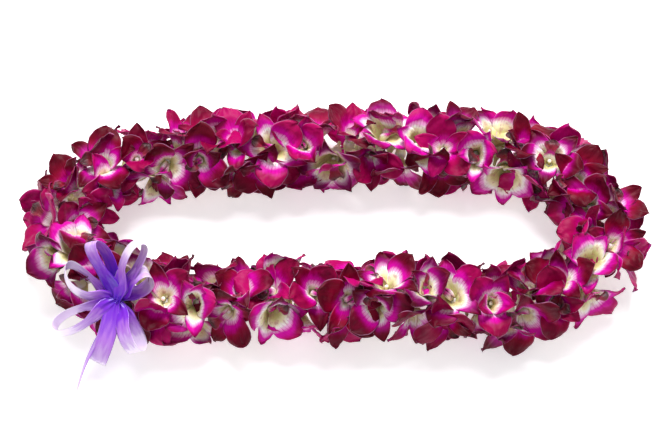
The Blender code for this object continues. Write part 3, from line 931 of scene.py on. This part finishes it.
def loop_stations(loop, layer):
    """Stations of (point, half width, reach, painted light) from the middle and back, in the bow's frame."""
    angle, roll = math.radians(loop["angle"]), math.radians(loop["roll"])
    out = Vector((math.cos(angle), math.sin(angle), 0))
    side = UP.cross(out)
    stations = []
    for i in range(LOOP_STATIONS):
        share = i / (LOOP_STATIONS - 1)
        reach = (1 - math.cos(2 * math.pi * share)) / 2
        turn = roll * min(1.0, reach * 2.2)
        belly = side * math.sin(turn) + UP * math.cos(turn)
        wide = side * math.cos(turn) - UP * math.sin(turn)
        opening = math.sin(2 * math.pi * share) * reach**0.7 * loop["open"] * MM * -1.0
        point = out * loop["length"] * MM * reach**0.9 + belly * opening
        point = point + side * loop["swerve"] * MM * reach**2 + UP * (loop["lift"] * reach + layer) * MM
        half = wide * RIBBON_WIDTH / 2 * pinch(point.length)
        # The fourth value is painted light: a paler painted highlight towards the loop's end, shifted by the
        # loop's own painted light.
        stations.append((point, half, reach, reach + loop["pale"] * min(1.0, reach * 3)))
    return stations


def smooth_path(points, count):
    """Points at even steps along the smooth curve through the given ones."""
    made = []
    ends = [points[0] * 2 - points[1], *points, points[-1] * 2 - points[-2]]
    for i in range(count):
        place = i / (count - 1) * (len(points) - 1)
        k = min(int(place), len(points) - 2)
        t = place - k
        a, b, c, d = ends[k : k + 4]
        swing = (2 * a - 5 * b + 4 * c - d) * t**2 + (3 * b - a - 3 * c + d) * t**3
        made.append(0.5 * (2 * b + (c - a) * t + swing))
    return made


def tail_stations(points, first_roll, last_roll, narrow=1.0):
    """Stations from the middle to a tail's end, with the ribbon rolled about its length, in degrees."""
    path = smooth_path([Vector(p) * MM for p in points], TAIL_STATIONS)
    stations = []
    for i, point in enumerate(path):
        share = i / (len(path) - 1)
        ahead = (path[min(i + 1, len(path) - 1)] - path[max(i - 1, 0)]).normalized()
        roll = math.radians(first_roll + (last_roll - first_roll) * share)
        wide = Matrix.Rotation(roll, 3, ahead) @ ahead.cross(UP).normalized()
        # The painted light rises towards the tail's end, a painted highlight that fades the tail to pale.
        stations.append((point, wide * RIBBON_WIDTH / 2 * narrow * pinch(point.length), share, share * 0.9))
    return stations


def strip_tree():
    """The tree that lays a ribbon over a line of stations: thin, closed, and pleated where it is pinched."""
    tree = bpy.data.node_groups.new("lay_ribbon", "GeometryNodeTree")
    tree.interface.new_socket("Guide", in_out="INPUT", socket_type="NodeSocketGeometry")
    for name in ("Thickness", "Pleat", "Rows"):
        tree.interface.new_socket(name, in_out="INPUT", socket_type="NodeSocketFloat")
    tree.interface.new_socket("Ribbon", in_out="OUTPUT", socket_type="NodeSocketGeometry")
    Field.tree = tree
    entry, leaving = add_node("NodeGroupInput"), add_node("NodeGroupOutput")
    rows = add_node("FunctionNodeFloatToInt", {"Float": entry.outputs["Rows"]})
    counts = {"Vertices X": rows.outputs[0], "Vertices Y": RIBBON_COLUMNS}
    grid = add_node("GeometryNodeMeshGrid", {"Size X": 1.0, "Size Y": 2.0, **counts})
    order = Field(add_node("GeometryNodeInputIndex").outputs[0])
    row = work("FLOOR", (order + 0.5) / RIBBON_COLUMNS)
    grid_row, side, _ = apart(position())
    last = Field(entry.outputs["Rows"]) - 1.0

    def station(name, at):
        """The guide's value of that name at a station, or its point where there is no name."""
        field = named(name, vector=True) if name else Field(position())
        at = work("MINIMUM", work("MAXIMUM", at, 0.0), last)
        source = {"Geometry": entry.outputs["Guide"], "Index": at}
        taken = add_node("GeometryNodeSampleIndex", source, data_type="FLOAT_VECTOR")
        socket = next(s for s in taken.inputs if s.name == "Value" and s.enabled)
        Field.tree.links.new(field.socket, socket)
        return Field(next(s for s in taken.outputs if s.enabled))

    middle = station("", row)
    ahead = unit(station("", row + 1.0) - station("", row - 1.0))
    across = station("half", row)
    # The guide's second mark is the painted light level that the satin's colour is read from.
    reach, painted_light, _ = apart(station("bow_reach", row))
    front = unit(work("CROSS_PRODUCT", ahead, across))
    tight = work("EXPONENT", reach * -6.0)
    pleat = work("COSINE", side * math.pi * 2.5) * tight * Field(entry.outputs["Pleat"])
    edge = side * side
    surface = middle + across * side + front * (pleat - edge * Field(entry.outputs["Pleat"]) * 0.35)
    share = row / last
    closed_ends = work("MINIMUM", work("MINIMUM", share * 60.0, (1.0 - share) * 60.0), 1.0)
    thick = (1.0 - edge**12.0) * closed_ends * Field(entry.outputs["Thickness"]) * 0.5
    strip = drop_corners(grid.outputs[0], grid_row + 0.5, side, last, RIBBON_COLUMNS)
    # The painted light level goes into the leaf coordinates in place of along.
    faces = two_faces(strip, surface, front, thick, painted_light, side)
    merged = add_node("GeometryNodeMergeByDistance", {"Geometry": faces, "Distance": 0.003 * MM})
    shaded = add_node("GeometryNodeSetShadeSmooth", {"Geometry": merged.outputs[0]})
    real = add_node("GeometryNodeRealizeInstances", {"Geometry": shaded.outputs[0]})
    Field.tree.links.new(coated(real.outputs[0], satin), leaving.inputs[0])
    return tree


# The satin's painted light and shade, from its pinched middle out to the ends of the loops: painted shade in
# deep violet at the middle, the lilac between, and a painted highlight near white at the ends.
SATIN_SHADE_TO_HIGHLIGHT = [(0.0, (0.07, 0.001, 0.50)), (0.32, (0.20, 0.015, 0.62)), (0.60, (0.44, 0.16, 0.70))]
SATIN_SHADE_TO_HIGHLIGHT += [(0.85, (0.64, 0.42, 0.82)), (1.0, (0.86, 0.74, 0.93))]


def satin_material():
    """Lilac satin with fine threads along it, its colour painted light: painted shade in deep violet at the
    pinched middle, a painted highlight near white towards the ends.
    """
    made, shader = new_material(
        "lilac_satin",
        0.28,
        Specular_IOR_Level=0.6,
        Sheen_Weight=0.3,
        Sheen_Roughness=0.3,
        Sheen_Tint=(0.8, 0.7, 1, 1),
    )
    # The ribbon's first leaf coordinate is its painted light level: low for painted shade near the middle,
    # high for painted highlight.
    reach, side, facing = apart(add_node("ShaderNodeAttribute", attribute_name="leaf").outputs["Vector"])
    threads = noise(together(reach * 2.0, side * 26.0, facing), 6.0, 3.0)
    cloud = noise(together(reach * 3.0, side * 1.5, facing * 3.0), 1.3, 1.0)
    # Where the colour stands on the ramp from painted shade to painted highlight, with one face painted a
    # little paler and the threads and clouds varying it at random.
    depth = reach + (cloud - 0.5) * 0.5 + (threads - 0.5) * 0.25 + smooth(facing, -0.5, 0.5) * 0.10
    colour = ramp(depth, *SATIN_SHADE_TO_HIGHLIGHT)
    finish_surface(shader, colour, threads, 0.05 * MM)
    return made


satin = satin_material()
ribbon_tree = strip_tree()


def ribbon_piece(name, stations, pleat):
    """The ribbon as a plain mesh, laid over stations that are given in the bow's frame."""
    mesh = bpy.data.meshes.new(name + "_line")
    mesh.from_pydata([bow_place @ station[0] for station in stations], [], [])
    halves = mesh.attributes.new("half", "FLOAT_VECTOR", "POINT")
    reaches = mesh.attributes.new("bow_reach", "FLOAT_VECTOR", "POINT")
    for i, (_, half, reach, painted_light) in enumerate(stations):
        halves.data[i].vector = bow_place.to_3x3() @ half
        reaches.data[i].vector = (reach, painted_light, 0)
    sizes = {"Thickness": RIBBON_THICKNESS, "Pleat": pleat, "Rows": float(len(stations))}
    return grown(name, mesh, ribbon_tree, sizes)


def drawn_on(stations, coming):
    """The stations with more after them, turned over where needed so that the ribbon doesn't twist."""
    if stations[-1][1].dot(coming[0][1]) < 0:
        coming = [(point, -half, *marks) for point, half, *marks in coming]
    return stations + coming[1:]


stations = list(reversed(tail_stations(NARROW_TAIL, 50, 84, 0.6)))
for k, loop in enumerate(BOW_LOOPS):
    stations = drawn_on(stations, loop_stations(loop, LAYER_STEP * (k - 3)))
stations = drawn_on(stations, tail_stations(WIDE_TAIL, 0, 0))
ribbon_length = sum((b[0] - a[0]).length for a, b in zip(stations, stations[1:]))
bow = ribbon_piece("satin_bow", stations, 1.1 * MM)
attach(bow, "root")
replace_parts(bow, "ribbon_bow")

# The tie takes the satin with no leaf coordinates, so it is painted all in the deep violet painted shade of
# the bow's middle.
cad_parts["bow_tie"].data.materials.clear()
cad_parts["bow_tie"].data.materials.append(satin)

# --------------------------------------------------------------------------------------------------
# The table, the light and the camera: a white sweep, a broad light above and behind with a weak one in
# front, and a long lens that looks down at a steep angle.

floor_mesh = bpy.data.meshes.new("table_top")
floor_mesh.from_pydata([(-6, -6, 0), (6, -6, 0), (6, 6, 0), (-6, 6, 0)], [], [(0, 1, 2, 3)])
floor = bpy.data.objects.new("table_top", floor_mesh)
bpy.context.scene.collection.objects.link(floor)
paper, paper_shader = new_material("white_table", 0.9)
paper_shader.inputs["Base Color"].default_value = (0.93, 0.93, 0.94, 1)
paper_shader.inputs["Emission Color"].default_value = (1, 1, 1, 1)
paper_shader.inputs["Emission Strength"].default_value = 0.44
floor.data.materials.append(paper)


def area_light(name, place, target, size, power):
    lamp = bpy.data.lights.new(name, "AREA")
    lamp.shape = "DISK"
    lamp.size = size
    lamp.energy = power
    holder = bpy.data.objects.new(name, lamp)
    holder.location = place
    holder.rotation_euler = (Vector(target) - Vector(place)).to_track_quat("-Z", "Y").to_euler()
    bpy.context.scene.collection.objects.link(holder)


area_light("key_light", (0.10, 0.8, 1.4), (0, 0, 0), 1.0, 38)
area_light("fill_light", (-0.5, -0.9, 1.3), (0, 0, 0), 1.4, 3)
world = bpy.data.worlds.new("studio")
bpy.context.scene.world = world
world.use_nodes = True
world.node_tree.nodes["Background"].inputs["Color"].default_value = (1, 1, 1, 1)
world.node_tree.nodes["Background"].inputs["Strength"].default_value = 0.52
bpy.context.scene.view_settings.view_transform = "Standard"

LENS_ELEVATION = math.radians(65)
LENS_DISTANCE = 1.5
aim = Vector((0.0, 0.018, 0.02))
camera = bpy.data.objects.new("camera", bpy.data.cameras.new("camera"))
camera.data.lens = 105
camera.location = aim + LENS_DISTANCE * Vector((0, -math.cos(LENS_ELEVATION), math.sin(LENS_ELEVATION)))
camera.rotation_euler = (aim - camera.location).to_track_quat("-Z", "Y").to_euler()
bpy.context.scene.collection.objects.link(camera)
bpy.context.scene.camera = camera
